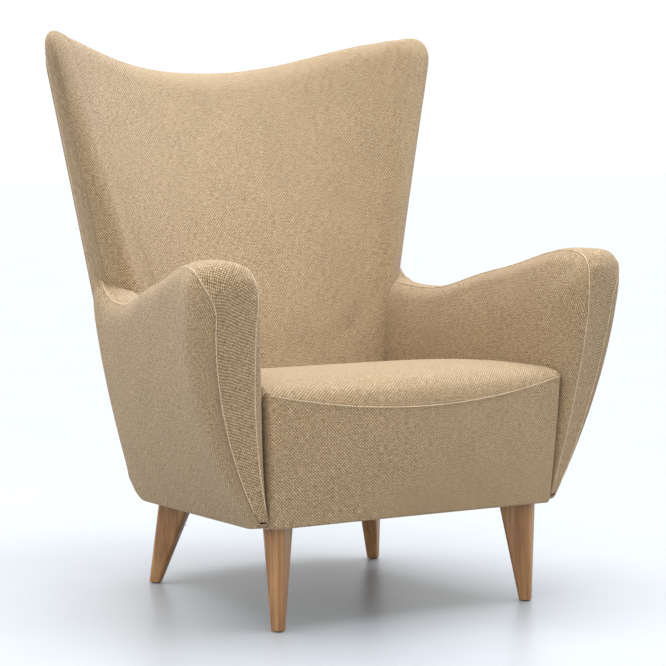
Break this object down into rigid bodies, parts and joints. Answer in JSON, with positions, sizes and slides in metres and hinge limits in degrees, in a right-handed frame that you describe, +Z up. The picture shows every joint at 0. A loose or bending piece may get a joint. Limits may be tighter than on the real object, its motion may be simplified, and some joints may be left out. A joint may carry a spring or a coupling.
{
  "type": "armchair",
  "caption": "Upholstered wing-back lounge armchair with swept padded arms, a fixed crowned seat, a curved winged back and tapered oak legs.",
  "frame": {"origin": "on the floor, under the middle of the chair's width and depth", "axes": "+Z up, the sitter faces -Y, +X is to the right of someone who looks at the chair's front"},
  "size_m": [0.9002, 0.906, 1.0545],
  "materials": {
    "oak": "oiled",
    "beech": "raw",
    "plywood": "raw",
    "steel": "zinc plated",
    "foam": "matte",
    "upholstery": "woven",
    "webbing": "woven",
    "dust_cloth": "matte",
    "nylon": "matte"
  },
  "bodies": {
    "root": {"leg_front_left": "oak", "leg_front_right": "oak", "leg_rear_left": "oak", "leg_rear_right": "oak", "front_rail": "beech", "rear_rail": "beech", "side_rail_left": "beech", "side_rail_right": "beech", "rail_dowels": "beech", "corner_block_front_left": "beech", "corner_block_front_right": "beech", "corner_block_rear_left": "beech", "corner_block_rear_right": "beech", "back_post_left": "beech", "back_post_right": "beech", "back_bottom_rail": "beech", "arm_panel_left": "plywood", "arm_panel_right": "plywood", "back_top_rail": "plywood", "back_mid_rail": "plywood", "wing_rib_left": "plywood", "wing_rib_right": "plywood", "seat_springs": "steel", "spring_clips": "steel", "arm_bolts": "steel", "back_bolts": "steel", "leg_bolts": "steel", "leg_tee_nuts": "steel", "seat_foam": "foam", "arm_foam_left": "foam", "arm_foam_right": "foam", "arm_cover_left": "upholstery", "arm_cover_right": "upholstery", "seat_cover": "upholstery", "front_border": "upholstery", "back_pad": "upholstery", "outside_back_panel": "upholstery", "back_webbing": "webbing", "dust_cover": "dust_cloth", "leg_glides": "nylon"}
  },
  "joints": []
}
